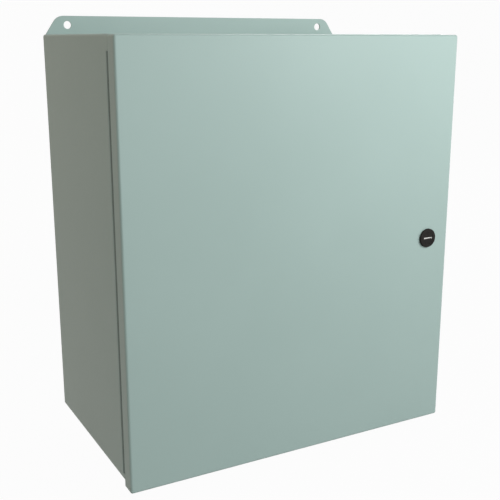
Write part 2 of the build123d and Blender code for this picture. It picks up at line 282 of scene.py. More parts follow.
# %% [markdown]
# ## The body
# The four walls are one folded band. Near its front the wall steps in to a collar, and a lip turns
# in from the collar for the seal to press on. On the hinge side the shoulder is pressed back into
# a trough, so the profile's depth there depends on the station as well. Separate walls would
# leave seams that the real sheet doesn't have, and one grid can hold it all.

# %% Where the wall is pressed back for the hinge
leaf_low, leaf_high = node_box("hinge_body_leaf")
HINGE_MIDDLE, HINGE_HALF = (leaf_high[2] + leaf_low[2]) / 2, (leaf_high[2] - leaf_low[2]) / 2
TROUGH_MARGIN, PRESS_SLOPE, SLACK = 0.6, 0.5, 0.01
TROUGH_HALF = HINGE_HALF + TROUGH_MARGIN
press_z = TROUGH_HALF + np.array([-PRESS_SLOPE, 0, SHEET - PRESS_SLOPE, SHEET])
press_z = HINGE_MIDDLE + np.concatenate([press_z, -press_z])
press_points = np.stack([np.full(len(press_z), -BODY_HALF[0]), press_z], -1)
body_stations = np.concatenate([corner_stations(), side_stations(press_points, BODY_HALF)])
body_stations = in_order(body_stations, BODY_HALF, BODY_RADIUS)
on_left = body_stations[:, 0] * (body_stations[:, 1] == 0) < 0
from_middle = np.abs(body_stations[:, 5] - HINGE_MIDDLE)
outer_pressed = on_left & (from_middle < TROUGH_HALF - SLACK)
inner_pressed = on_left & (from_middle < TROUGH_HALF + SHEET - SLACK)
print("body:", len(body_stations), "stations, trough", 2 * TROUGH_HALF, "mm long")

# %% Body wall, shoulder, collar and lip
COLLAR_STEP, COLLAR_BEND, LIP_STEP, LIP_RADIUS = 3.6, 2.3, 11.0, 3.0
SHOULDER_GAP, TROUGH_OPENING, INNER_RADIUS = 0.4, 4.6, 0.5
MIDWAY = 0.29 * EDGE
SHOULDER, TROUGH_BACK = FLANGE_EDGE - SHOULDER_GAP, FLANGE_EDGE - TROUGH_OPENING


def level_rows(depths_and_steps, radius):
    """Profile rows whose depth is the same at every station."""
    return [(np.full(len(body_stations), depth), step, radius) for depth, step in depths_and_steps]


def shoulder_rows(front, back, pressed, drops_and_steps, radius):
    """Profile rows at the front depth, or at the back depth where the wall is pressed."""
    base = np.where(pressed, back, front)
    return [(base - drop, step, radius) for drop, step in drops_and_steps]


collar_arc = arc(BODY_DEPTH - COLLAR_BEND, COLLAR_STEP + COLLAR_BEND, COLLAR_BEND, -90, 0)
lip_front = arc(BODY_DEPTH - EDGE, LIP_STEP - EDGE, EDGE, 0, 90, EDGE_STEPS)
lip_back = arc(BODY_DEPTH - SHEET + EDGE, LIP_STEP - EDGE, EDGE, 90, 180, EDGE_STEPS)
outside = [(EDGE, 0.0), (MIDWAY, MIDWAY), (0.0, EDGE), (0.0, COLLAR_STEP)]
inside = [(0.0, COLLAR_STEP + SHEET), (0.0, SHEET)]
body_rows = [
    *level_rows([(SHEET, 0.0)], BODY_RADIUS),
    *shoulder_rows(SHOULDER, TROUGH_BACK, outer_pressed, outside, BODY_RADIUS),
    *level_rows(collar_arc, BODY_RADIUS),
    *level_rows(lip_front, LIP_RADIUS),
    *level_rows(lip_back, LIP_RADIUS),
    *level_rows([(BODY_DEPTH - SHEET, COLLAR_STEP + SHEET)], INNER_RADIUS),
    *shoulder_rows(SHOULDER - SHEET, TROUGH_BACK - SHEET, inner_pressed, inside, INNER_RADIUS),
    *level_rows([(SHEET, SHEET)], INNER_RADIUS),
]
body_depths, body_steps, body_radii = (np.array(column) for column in zip(*body_rows))
body_x, body_z = outline(body_stations, BODY_HALF, body_steps, body_radii)
body_sheet = make_piece(
    "body_sheet", [closed_grid(body_x, body_depths, body_z)],
    "cabinet", ["body_wrap"])


# %% [markdown]
# ## The back sheet and its wall flanges
# One flat sheet closes the back and runs on past the walls as a flange above and below, each with
# two holes for wall screws. A laser cuts it, and the powder rounds its sharp edge a little. A
# Solidify and a Bevel modifier would come close. Here the rim is a rounded profile carried along
# every cut line, which keeps the size exact, and two flat caps fill what is between.

# %% Cut a flat sheet with a rounded rim
def round_hole(radius, count=32):
    """A clockwise circle: radius times the sine and cosine of the angle."""
    around = full_turn(count)[:, None]
    return radius * np.concatenate([np.sin(around), np.cos(around)], 1)


def inset(loop, distance):
    """Each point of a closed loop moved to its left along the mean normal of its two sides."""
    before, after = loop - np.roll(loop, 1, 0), np.roll(loop, -1, 0) - loop
    normals = [np.stack([-d[:, 1], d[:, 0]], -1) / np.linalg.norm(d, axis=1)[:, None]
               for d in (before, after)]
    mean = normals[0] + normals[1]
    return loop + distance * 2 * mean / (mean ** 2).sum(1)[:, None]


def cut_sheet(loops, thickness, edge):
    """Rings at edge * (1 - cos) deep and edge * (1 - sin) in, along an anticlockwise outer loop
    and clockwise holes, with flat caps; the wall is at depth 0."""
    turn = np.radians(np.linspace(0, 90, EDGE_STEPS + 1))
    rise, step_in = edge * (1 - np.cos(turn)), edge * (1 - np.sin(turn))
    depth = np.concatenate([rise, thickness - rise[::-1]])
    step = np.concatenate([step_in, step_in[::-1]])
    parts, wall_rims, front_rims = [], [], []
    for loop in loops:
        rings = [np.insert(inset(loop, s), 1, -d, axis=1) for d, s in zip(depth, step)]
        parts.append((np.concatenate(rings), grid_quads(len(rings), len(loop))))
        wall_rims.append(rings[0])
        front_rims.append(rings[-1])
    for rims in (wall_rims, front_rims):
        flat = [[Vector((x, z, 0.0)) for x, _, z in ring] for ring in rims]
        parts.append((np.concatenate(rims), np.array(tessellate_polygon(flat))))
    return parts


# %% Outline of the back sheet
FLANGE_RISE = back_high[2] - BODY_HALF[1]
FLANGE_SLOPE, FLANGE_RADIUS = math.radians(56.2), 12.7


def rounded_corner(before, corner, after, radius, count=8):
    """The arc that touches both sides of a corner, as a blend between its two ends:
    (sin((1 - t) * whole) * first + sin(t * whole) * last) / sin(whole)."""
    to_before = (before - corner) / np.linalg.norm(before - corner)
    to_after = (after - corner) / np.linalg.norm(after - corner)
    half_angle = math.acos(np.clip(to_before @ to_after, -1, 1)) / 2
    middle = to_before + to_after
    centre = corner + middle / np.linalg.norm(middle) * radius / math.sin(half_angle)
    first = corner + to_before * radius / math.tan(half_angle) - centre
    last = corner + to_after * radius / math.tan(half_angle) - centre
    t = np.linspace(0, 1, count + 1)[:, None]
    whole = math.acos(np.clip(first @ last / radius ** 2, -1, 1))
    blend = np.sin((1 - t) * whole) * first + np.sin(t * whole) * last
    return centre + blend / math.sin(whole)


top_x = BODY_HALF[0] - BODY_RADIUS
slope_end = np.array([top_x - FLANGE_RISE / math.tan(FLANGE_SLOPE), BODY_HALF[1] + FLANGE_RISE])
slope_foot = np.array([top_x, BODY_HALF[1]])
quarter = np.linspace(0, np.pi / 2, CORNER_STEPS + 1)[:, None]
body_corner = np.array([top_x, BODY_HALF[1] - BODY_RADIUS])
body_corner = body_corner + BODY_RADIUS * np.concatenate([np.cos(quarter), np.sin(quarter)], 1)
flange_corner = rounded_corner(slope_foot, slope_end, slope_end * [-1, 1], FLANGE_RADIUS)
one_quarter = np.concatenate([body_corner, flange_corner])
half_line = np.concatenate([one_quarter, one_quarter[::-1] * [-1, 1]])
back_loop = np.concatenate([half_line, half_line * -1])
print("flange rises", FLANGE_RISE, "mm above the walls, its slope ends at", slope_end)

# %% Back sheet
WALL_HOLE, WALL_HOLE_PLACE = 3.97, np.array([152.4, 212.725])
FOUR_WAYS = [(side_x, side_z) for side_x in (-1, 1) for side_z in (-1, 1)]
wall_holes = [round_hole(WALL_HOLE) + WALL_HOLE_PLACE * signs for signs in FOUR_WAYS]
back_sheet = make_piece(
    "back_sheet", cut_sheet([back_loop, *wall_holes], SHEET, EDGE),
    "cabinet", ["back_panel"])


# %% [markdown]
# ## Turned shapes with threads
# Studs and the latch barrel are turned: a profile of radius against distance, spun round an axis.
# A Screw modifier could spin it, but its thread would end abruptly. Here a wave that climbs one
# pitch a turn is taken off the radius, and fades out at both ends. A flat on the barrel is where
# the radius may not pass the flat's distance over the sine of the angle.

# %% Spin a profile, with a thread where it is asked for
THREAD_FLAT = 0.15


def thread_drop(along, angle, pitch, depth, start, end):
    """Depth times a zigzag of along / pitch - angle / whole turn, cut flat at crest and root,
    which fades in half a pitch at both ends."""
    wave = np.abs((along / pitch - angle / (2 * np.pi)) % 1.0 - 0.5) * 2
    fade = np.clip(np.minimum(along - start, end - along) / (pitch / 2), 0, 1)
    return depth * np.clip(wave * (1 + 2 * THREAD_FLAT) - THREAD_FLAT, 0, 1) * fade


def spun(radius, along, origin, axis, side):
    """Points at origin + along * axis + radius * (cos * side + sin * across)."""
    angle = full_turn(radius.shape[1])
    axis, side = np.asarray(axis, float), np.asarray(side, float)
    across = np.cross(axis, side)
    ring = np.cos(angle)[:, None] * side + np.sin(angle)[:, None] * across
    points = origin + along[..., None] * axis + radius[..., None] * ring
    return points.reshape(-1, 3)


def spun_ring(radius, along, origin, axis, side):
    """Spun points and their quads, with the last row joined to the first."""
    return spun(radius, along, origin, axis, side), grid_quads(*radius.shape, wrap_rows=True)


# %% [markdown]
# ## Studs
# Four collar studs carry the inner panel. Two smaller ones, one on the left wall and one on the
# door, are for the bonding lead that joins door and body. A bump would do from far off, but they
# catch the light when the door stands open, so the thread is cut.

# %% One threaded stud
STUD_TURNS, STUD_RADIUS, STUD_PITCH, STUD_THREAD = 48, 3.0, 1.0, 0.55
TIP_RADIUS, TIP_LENGTH, FOOT_CHAMFER, RUN_OUT, CLIMB = 2.2, 0.8, 0.2, 0.3, 0.125


def threaded_stud(origin, axis, side, foot_radius, foot_height, length):
    """A welded foot, a thread above it and a chamfered tip: radius less the thread's drop."""
    angle = full_turn(STUD_TURNS)
    climb = np.arange(foot_height, length - TIP_LENGTH + TINY, CLIMB)
    along = np.concatenate(
        [[0, 0, foot_height - FOOT_CHAMFER, foot_height], climb, [length, length]])
    radius = np.concatenate([
        [0, foot_radius, foot_radius, foot_radius - FOOT_CHAMFER],
        np.full(len(climb), STUD_RADIUS), [TIP_RADIUS, 0]])
    along, radius = along[:, None], radius[:, None] + 0 * angle
    drop = thread_drop(
        along, angle, STUD_PITCH, STUD_THREAD, foot_height + RUN_OUT, length + RUN_OUT)
    threaded = (along > foot_height) & (radius > TIP_RADIUS)
    return spun(radius - drop * threaded, along, origin, axis, side), grid_quads(*radius.shape)


def foot_of(name, axis):
    """The middle of the face where a node starts along an axis, and how far it extends."""
    low, high = node_box(name)
    axis = np.asarray(axis, float)
    extent = np.abs((high - low) @ axis)
    return (low + high) / 2 - axis * extent / 2, extent


# %% Six studs
COLLAR_RADIUS, COLLAR_HEIGHT, WELD_RADIUS, WELD_HEIGHT = 6.4, 11.1, 4.6, 0.8
_, studs_high = node_box("panel_studs")
stud_x, stud_z = studs_high[0] - COLLAR_RADIUS, studs_high[2] - COLLAR_RADIUS
panel_spots = np.array([(side_x * stud_x, 0.0, side_z * stud_z) for side_x, side_z in FOUR_WAYS])
at_middle = np.zeros((1, 3))


def stud_piece(node, spots, axis, side, foot_radius, foot_height, body):
    """Threaded studs for one node of the frame, with one at each spot round its middle."""
    foot, length = foot_of(node, axis)
    parts = [threaded_stud(foot + spot, axis, side, foot_radius, foot_height, length)
             for spot in spots]
    return make_piece(node + "_threaded", parts, body, [node], sharp_angle=40.0)


studs = [
    stud_piece("panel_studs", panel_spots, (0, -1, 0), (1, 0, 0),
               COLLAR_RADIUS, COLLAR_HEIGHT, "cabinet"),
    stud_piece("body_bond_stud", at_middle, (1, 0, 0), (0, 0, 1),
               WELD_RADIUS, WELD_HEIGHT, "cabinet"),
    stud_piece("door_bond_stud", at_middle, (0, 1, 0), (1, 0, 0),
               WELD_RADIUS, WELD_HEIGHT, "door"),
]


# %% [markdown]
# ## Nuts and washers
# A hexagon nut is turned before it is tapped, so cones cut its six corners on both faces. Cones
# could cut a six-sided cylinder, but on a spun grid a rule is enough: the radius is the lesser of
# the flat's distance over a cosine and the cone's. Washers are tumbled, so their rims are round.

# %% Shapes of a nut and a washer
NUT_TURNS, CONE_STEPS, CONE_START, CONE_SLOPE, CONE_HEIGHT = 96, 8, 0.95, 1.73, 0.07
WASHER_TURNS, BORE_CHAMFER = 64, 0.4


def hex_nut(origin, axis, corner, flats, thickness, bore):
    """Radius: half the flats / cos(angle from the flat's middle), or the corner cone if less."""
    angle = full_turn(NUT_TURNS)
    hexagon = flats / 2 / np.cos(angle % (np.pi / 3) - np.pi / 6)
    height = np.linspace(0, CONE_HEIGHT * flats, CONE_STEPS)
    cone = CONE_START * flats / 2 + CONE_SLOPE * height
    sides = np.minimum(np.concatenate([cone, cone[::-1]])[:, None], hexagon)
    mouth = bore + BORE_CHAMFER
    bores = np.array([mouth, bore, bore, mouth])[:, None] + 0 * angle
    along = np.concatenate([
        height, thickness - height[::-1],
        [thickness, thickness - BORE_CHAMFER, BORE_CHAMFER, 0]])
    radius = np.concatenate([sides, bores])
    return spun_ring(radius, along[:, None], origin, axis, corner)


def round_washer(origin, axis, side, outer, bore, thickness):
    """A ring whose outer rim is a quarter circle of the edge radius at each face."""
    turn = np.radians(np.linspace(0, 90, EDGE_STEPS + 1))
    rim = outer - EDGE + EDGE * np.sin(turn)
    rise = EDGE * (1 - np.cos(turn))
    radius = np.concatenate([rim, rim[::-1], [bore, bore]])
    along = np.concatenate([rise, thickness - rise[::-1], [thickness, 0]])
    radius = radius[:, None] + 0 * full_turn(WASHER_TURNS)
    return spun_ring(radius, along[:, None], origin, axis, side)


# %% Nuts and washers at their places
NUT_FLATS, WASHER_RADIUS, LATCH_NUT_FLATS, LATCH_BORE = 10.0, 7.0, 17.0, 7.0


def nut_piece(node, spots, axis, corner, flats, bore, body):
    """Hexagon nuts for one node of the frame, with one at each spot round its middle."""
    foot, thickness = foot_of(node, axis)
    parts = [hex_nut(foot + spot, axis, corner, flats, thickness, bore) for spot in spots]
    return make_piece(node + "_turned", parts, body, [node], sharp_angle=25.0)


def washer_piece(node, spots, axis, side, body):
    """Round washers for one node of the frame, with one at each spot round its middle."""
    foot, thickness = foot_of(node, axis)
    parts = [round_washer(foot + spot, axis, side, WASHER_RADIUS, STUD_RADIUS, thickness)
             for spot in spots]
    return make_piece(node + "_rounded", parts, body, [node], sharp_angle=35.0)


on_studs = [
    ("panel_nuts", "panel_washers", panel_spots, (0, -1, 0), (1, 0, 0), "cabinet"),
    ("body_bond_nut", "body_bond_washer", at_middle, (1, 0, 0), (0, 1, 0), "cabinet"),
    ("door_bond_nut", "door_bond_washer", at_middle, (0, 1, 0), (1, 0, 0), "door"),
]
fasteners = []
for nut, washer, spots, axis, corner, body in on_studs:
    fasteners.append(nut_piece(nut, spots, axis, corner, NUT_FLATS, STUD_RADIUS, body))
    fasteners.append(washer_piece(washer, spots, axis, corner, body))
fasteners.append(nut_piece(
    "latch_nut", at_middle, (0, 1, 0), (0, 0, 1), LATCH_NUT_FLATS, LATCH_BORE, "door"))


# %% [markdown]
# ## The inner panel
# Equipment is screwed to a flat white plate that sits on the four collars. It is cut and coated as
# the back sheet is, so the same function cuts it, with four smaller holes at the studs.

# %% Inner panel
PANEL_CORNER, PANEL_HOLE = 6.0, 3.8
panel_low, panel_high = node_box("inner_panel")
panel_half = ((panel_high - panel_low) / 2)[[0, 2]]
panel_outline = np.stack(outline(corner_stations(), panel_half, 0.0, PANEL_CORNER), -1)
panel_loops = [panel_outline] + [round_hole(PANEL_HOLE) + spot[[0, 2]] for spot in panel_spots]
panel_parts = [(points + [0, panel_high[1], 0], faces) for points, faces in cut_sheet(
    panel_loops, panel_high[1] - panel_low[1], EDGE)]
panel_plate = make_piece(
    "panel_plate", panel_parts, "cabinet", ["inner_panel"])


# %% [markdown]
# ## The latch housing
# A quarter-turn latch is a die casting: a low round head in front of the door, and a threaded
# barrel through it with two flats that stop it turning. The bore holds the insert, and a slot in
# the barrel's rear holds the stop lug. Booleans could cut all this from a cylinder. As one spun
# profile it takes only rules on the radius, and every edge stays clean.

# %% Measures of the latch housing
HEAD_RADIUS, HEAD_THICKNESS, HEAD_CHAMFER, HEAD_BREAK, HEAD_ROUND = 10.0, 2.0, 0.6, 0.2, 0.06
BARREL_RADIUS, BARREL_HALF_FLATS, BARREL_CHAMFER = 7.0, 6.2, 0.4
BARREL_PITCH, BARREL_THREAD, THREAD_RELIEF = 1.0, 0.5, 0.2
BORE_RADIUS, SEAT_RADIUS, SEAT_BREAK = 4.05, 6.45, 0.15
STOP_RADIUS, STOP_DEPTH, STOP_MIDDLE, STOP_HALF_ANGLE = 5.6, 1.5, 180.0, 66.0
LATCH_TURNS = 96
INSERT_SETBACK, INSERT_FACE, RUNNING_GAP = 0.3, 1.4, 0.05
HEAD_FRONT, BARREL_END = -head_low[1], -head_high[1]
HEAD_BACK = HEAD_FRONT - HEAD_THICKNESS
CHAMFER_FOOT, CHAMFER_RIM = HEAD_FRONT - HEAD_CHAMFER, HEAD_RADIUS - HEAD_CHAMFER
SEAT = HEAD_FRONT - INSERT_SETBACK - INSERT_FACE - RUNNING_GAP
STOP_FLOOR = BARREL_END + STOP_DEPTH
print("latch at", LATCH, "from", BARREL_END, "to", HEAD_FRONT, "mm out, seat at", SEAT)

# %% Latch housing
spin = full_turn(LATCH_TURNS)


def spread(pairs):
    """Profile pairs as a grid of radii, with a column for each angle, and a column of distances."""
    pairs = np.asarray(pairs)
    return pairs[:, :1] + 0 * spin, pairs[:, 1:]


climb = np.arange(BARREL_END + BARREL_CHAMFER, HEAD_BACK - BARREL_CHAMFER, CLIMB)
barrel_radius, barrel_along = spread(np.concatenate([
    [(BARREL_RADIUS - BARREL_THREAD, BARREL_END)],
    [(BARREL_RADIUS, BARREL_END + BARREL_CHAMFER)],
    np.stack([np.full(len(climb), BARREL_RADIUS), climb], -1),
    [(BARREL_RADIUS, HEAD_BACK)],
]))
barrel_drop = thread_drop(barrel_along, spin, BARREL_PITCH, BARREL_THREAD,
                          BARREL_END + RUN_OUT, HEAD_BACK - THREAD_RELIEF)
barrel_radius = with_flats(barrel_radius - barrel_drop, BARREL_HALF_FLATS, spin)
head_radius, head_along = spread([
    (HEAD_RADIUS - HEAD_BREAK, HEAD_BACK), (HEAD_RADIUS, HEAD_BACK + HEAD_BREAK),
    (HEAD_RADIUS, CHAMFER_FOOT - HEAD_BREAK), (HEAD_RADIUS - HEAD_ROUND, CHAMFER_FOOT),
    (CHAMFER_RIM, HEAD_FRONT - HEAD_ROUND), (CHAMFER_RIM - HEAD_BREAK, HEAD_FRONT),
    (SEAT_RADIUS + SEAT_BREAK, HEAD_FRONT), (SEAT_RADIUS, HEAD_FRONT - SEAT_BREAK),
    (SEAT_RADIUS, SEAT), (BORE_RADIUS, SEAT), (BORE_RADIUS, STOP_FLOOR),
])
in_stop_slot = np.abs(np.degrees(spin) - STOP_MIDDLE) < STOP_HALF_ANGLE
stop_radius = np.where(in_stop_slot, STOP_RADIUS, BORE_RADIUS)
radius = np.concatenate([[stop_radius], barrel_radius, head_radius, [stop_radius]])
along = np.concatenate([[[BARREL_END]], barrel_along, head_along, [[STOP_FLOOR]]])
latch_body = make_piece(
    "latch_body", [spun_ring(radius, along, (LATCH[0], 0.0, LATCH[1]), (0, -1, 0), (1, 0, 0))],
    "door", ["latch_housing"], sharp_angle=35.0)


# %% [markdown]
# ## The continuous hinge
# Each leaf is a strip of thin steel whose knuckles are rolled round the pin. Plain cylinders would
# hide how it is made, so a knuckle is the strip's own middle line, bent to an arc, with half the
# thickness added on either side. The body leaf bends out behind the pin before it curls, and the
# door leaf runs straight into its curl.

# %% Strips from a bent line
def thick_line(middle, thickness):
    """Both sides of a bent line, each point moved half the thickness along its normal."""
    along = np.gradient(middle, axis=0)
    normal = np.stack([-along[:, 1], along[:, 0]], -1) / np.linalg.norm(along, axis=1)[:, None]
    return middle + normal * thickness / 2, middle - normal * thickness / 2


def strip_between(middle, thickness, low, high):
    """A thick line drawn out from one height to another, closed at both ends."""
    left, right = thick_line(middle, thickness)
    loop = np.concatenate([left, right[::-1]])
    count, half = len(loop), len(left)
    xyz = [np.stack([loop[:, 0], -loop[:, 1], np.full(count, z)], -1) for z in (low, high)]
    i = np.arange(half - 1)
    cap = np.stack([i, i + 1, count - 2 - i, count - 1 - i], -1)
    walls = grid_quads(2, count)
    return [(np.concatenate(xyz), np.concatenate([walls, cap, cap + count]))]


def polar(centre, radius, start, end, count):
    """Centre plus radius times (cosine, sine), in the plane of X and depth."""
    turn = np.radians(np.linspace(start, end, count))
    return np.asarray(centre) + radius * np.stack([np.cos(turn), np.sin(turn)], -1)


# %% Hinge leaves
pin_low, pin_high = node_box("hinge_pin")
door_leaf_low, _ = node_box("hinge_door_leaf")
PIN = ((pin_low + pin_high) / 2)[:2] * [1, -1]
LEAF, CURL_RADIUS, CURL_POINTS, TURN_RADIUS, TURN_POINTS = 0.7, 1.05, 26, 0.6, 6
CURL_GAP, CURL_LEAD, DOOR_CURL_END, BODY_CURL_END = 0.05, 0.4, -292, -372
KNUCKLES, KNUCKLE_GAP = 15, 0.2
HINGE_FOOT, KNUCKLE = HINGE_MIDDLE - HINGE_HALF, 2 * HINGE_HALF / KNUCKLES


def hinge_leaf(name, node, strip_x, tip_depth, curl, first, body):
    """A flat strip with rolled knuckles at every second place."""
    strip = np.array([[strip_x, tip_depth], [strip_x, FLANGE_EDGE]])
    parts = strip_between(strip, LEAF, HINGE_FOOT, HINGE_FOOT + 2 * HINGE_HALF)
    for index in range(first, KNUCKLES, 2):
        low = HINGE_FOOT + index * KNUCKLE + KNUCKLE_GAP / 2
        parts += strip_between(curl, LEAF, low, low + KNUCKLE - KNUCKLE_GAP)
    return make_piece(name, parts, body, [node], sharp_angle=35.0)


door_strip_x, body_strip_x = PIN[0] + CURL_RADIUS, leaf_high[0] - LEAF / 2
door_curl = np.concatenate([
    [[door_strip_x, FLANGE_EDGE + CURL_GAP], [door_strip_x, PIN[1] + CURL_LEAD]],
    polar(PIN, CURL_RADIUS, 0, DOOR_CURL_END, CURL_POINTS),
])
turn_middle = (body_strip_x - TURN_RADIUS, PIN[1] - CURL_RADIUS + TURN_RADIUS)
body_curl = np.concatenate([
    [[body_strip_x, FLANGE_EDGE + CURL_GAP]],
    polar(turn_middle, TURN_RADIUS, 0, -90, TURN_POINTS),
    polar(PIN, CURL_RADIUS, -90, BODY_CURL_END, CURL_POINTS),
])
leaves = [
    hinge_leaf("hinge_leaf_on_body", "hinge_body_leaf",
               body_strip_x, -leaf_low[1], body_curl, 0, "cabinet"),
    hinge_leaf("hinge_leaf_on_door", "hinge_door_leaf",
               door_strip_x, -door_leaf_low[1], door_curl, 1, "door"),
]


# %% [markdown]
# ## The poured seal
# A machine pours a bead of foam round the inside of the door and it sets in place, so the seal has
# a domed section, a skin, and a slow unevenness along its length. A bevelled curve would be too
# even. It is modelled pressed by the lip, as with the door shut: the dome's top is cut off flat.

# %% Foam seal
seal_low, seal_high = node_box("door_seal")
SEAL_HALF = ((seal_high - seal_low) / 2)[[0, 2]]
SEAL_WIDTH, SEAL_CORNER, SEAL_FREE_HEIGHT = 5.5, 3.0, 7.0
SEAL_SPACING, SEAL_CORNER_CLEARANCE = 6.0, 6.0
DOME_POINTS, DOME_SIDE, DOME_TOP = 15, 0.7, 0.6
SWAY_X, SWAY_Z, WAVE_X, WAVE_Z, SWAY_LEAD = 0.10, 0.08, 23.0, 17.0, 1.0


def even_points(half, spacing):
    """Points spread along the four straight sides at about an even spacing."""
    points = []
    for axis in (0, 1):
        reach = half[axis] - SEAL_CORNER_CLEARANCE
        places = np.linspace(-reach, reach, int(2 * reach / spacing))
        for sign in (-1, 1):
            edge = np.full(len(places), sign * half[1 - axis])
            points.append(np.stack([places, edge] if axis == 0 else [edge, places], -1))
    return np.concatenate(points)


seal_sides = side_stations(even_points(SEAL_HALF, SEAL_SPACING), SEAL_HALF)
seal_stations = np.concatenate([corner_stations(), seal_sides])
seal_stations = in_order(seal_stations, SEAL_HALF, SEAL_CORNER)
dome = np.radians(np.linspace(0, 180, DOME_POINTS))
seal_step = SEAL_WIDTH / 2 * (1 - np.sign(np.cos(dome)) * np.abs(np.cos(dome)) ** DOME_SIDE)
seal_radius = np.clip(SEAL_CORNER - seal_step, 0, None)
seal_x, seal_z = outline(seal_stations, SEAL_HALF, seal_step, seal_radius)
sway = SWAY_X * np.sin(seal_x / WAVE_X) + SWAY_Z * np.sin(seal_z / WAVE_Z + SWAY_LEAD)
rise = np.sin(dome)[:, None] ** DOME_TOP * (SEAL_FREE_HEIGHT + sway)
seal_depth = DOOR_BACK - np.minimum(rise, DOOR_BACK - BODY_DEPTH)
foam_bead = make_piece(
    "foam_bead", [closed_grid(seal_x, seal_depth, seal_z)],
    "door", ["door_seal"], sharp_angle=50.0)


# %% [markdown]
# ## Shader groups
# Two effects serve several finishes, so each is a node group built once. Powder melts into a skin
# with a fine, soft waviness, the orange peel. Bare and plated metal carries faint streaks from
# rolling or turning. Images would blur close up and need unwrapped meshes, so noise is used, on
# the Object coordinates, where it stays put when the door swings.

# %% Node helpers
def add_node(tree, kind, values=(), **settings):
    """A node with its settings and its named input values."""
    node = tree.nodes.new(kind)
    for key, value in settings.items():
        setattr(node, key, value)
    for key, value in dict(values).items():
        node.inputs[key].default_value = value
    return node


def join(tree, *pairs):
    """Links each output to the input beside it."""
    for output, target in pairs:
        tree.links.new(output, target)


def new_group(name, inputs, outputs):
    """An empty shader group with number inputs and number outputs."""
    group = bpy.data.node_groups.new(name, "ShaderNodeTree")
    for label, value in inputs.items():
        socket = group.interface.new_socket(label, in_out="INPUT", socket_type="NodeSocketFloat")
        socket.default_value = value
    for label in outputs:
        group.interface.new_socket(label, in_out="OUTPUT", socket_type="NodeSocketFloat")
    return group, group.nodes.new("NodeGroupInput"), group.nodes.new("NodeGroupOutput")


# %% Orange peel
peel, peel_in, peel_out = new_group(
    "orange peel", {"Peel Size": 700.0, "Mottle Size": 14.0}, ["Height", "Mottle"])
place = add_node(peel, "ShaderNodeTexCoord")
fine = add_node(peel, "ShaderNodeTexNoise", {"Detail": 2.0, "Roughness": 0.45})
broad = add_node(peel, "ShaderNodeTexNoise", {"Detail": 3.0, "Roughness": 0.5})
join(peel,
     (place.outputs["Object"], fine.inputs["Vector"]),
     (place.outputs["Object"], broad.inputs["Vector"]),
     (peel_in.outputs["Peel Size"], fine.inputs["Scale"]),
     (peel_in.outputs["Mottle Size"], broad.inputs["Scale"]),
     (fine.outputs["Fac"], peel_out.inputs["Height"]),
     (broad.outputs["Fac"], peel_out.inputs["Mottle"]))
print(peel.name, "has", len(peel.nodes), "nodes")

# %% Drawn streaks
drawn, drawn_in, drawn_out = new_group(
    "drawn streaks", {"Streak Size": 900.0, "Stretch": 0.06}, ["Height", "Tone"])
place = add_node(drawn, "ShaderNodeTexCoord")
squeeze = add_node(drawn, "ShaderNodeCombineXYZ", {"X": 1.0, "Y": 1.0})
stretched = add_node(drawn, "ShaderNodeVectorMath", operation="MULTIPLY")
streaks = add_node(drawn, "ShaderNodeTexNoise", {"Detail": 3.0, "Roughness": 0.6})
blotch = add_node(drawn, "ShaderNodeTexNoise", {"Scale": 160.0, "Detail": 2.0})
join(drawn,
     (drawn_in.outputs["Stretch"], squeeze.inputs["Z"]),
     (place.outputs["Object"], stretched.inputs[0]),
     (squeeze.outputs["Vector"], stretched.inputs[1]),
     (stretched.outputs["Vector"], streaks.inputs["Vector"]),
     (drawn_in.outputs["Streak Size"], streaks.inputs["Scale"]),
     (place.outputs["Object"], blotch.inputs["Vector"]),
     (streaks.outputs["Fac"], drawn_out.inputs["Height"]),
     (blotch.outputs["Fac"], drawn_out.inputs["Tone"]))
print(drawn.name, "has", len(drawn.nodes), "nodes")


# %% [markdown]
# ## Finishes
# One recipe makes every finish: a base colour that drifts a little between two tones, a roughness
# range, and a bump from the group's height. One flat colour would look like plastic. The
# enclosure's paint is a pale grey-green in satin. The hinge's paint is darker: this is painted
# shade for the shadow in the narrow gap round the hinge. A low shine keeps the pale room from
# washing out the colours.

# %% Finish recipe
NOISE_RANGE = {"From Min": 0.3, "From Max": 0.7}


def finish(name, group, sizes, tones, roughness, bump, metallic=0.0, shine=0.5):
    """A Principled material fed by a group: tone mix, roughness range and bump distance in mm."""
    material = bpy.data.materials.new(name)
    material.use_nodes = True
    tree = material.node_tree
    shader = tree.nodes["Principled BSDF"]
    shader.inputs["Metallic"].default_value = metallic
    shader.inputs["Specular IOR Level"].default_value = shine
    effect = add_node(tree, "ShaderNodeGroup", sizes, node_tree=group)
    height, tone = effect.outputs
    spread_tone = add_node(tree, "ShaderNodeMapRange", NOISE_RANGE)
    mix = add_node(tree, "ShaderNodeMix", data_type="RGBA")
    mix.inputs["A"].default_value, mix.inputs["B"].default_value = (*tones[0], 1), (*tones[1], 1)
    rough = add_node(tree, "ShaderNodeMapRange", {
        **NOISE_RANGE, "To Min": roughness[0], "To Max": roughness[1]})
    relief = add_node(tree, "ShaderNodeBump", {"Strength": 1.0, "Distance": bump * MM})
    join(tree,
         (tone, spread_tone.inputs["Value"]),
         (spread_tone.outputs["Result"], mix.inputs["Factor"]),
         (mix.outputs["Result"], shader.inputs["Base Color"]),
         (height, rough.inputs["Value"]),
         (rough.outputs["Result"], shader.inputs["Roughness"]),
         (height, relief.inputs["Height"]),
         (relief.outputs["Normal"], shader.inputs["Normal"]))
    return material


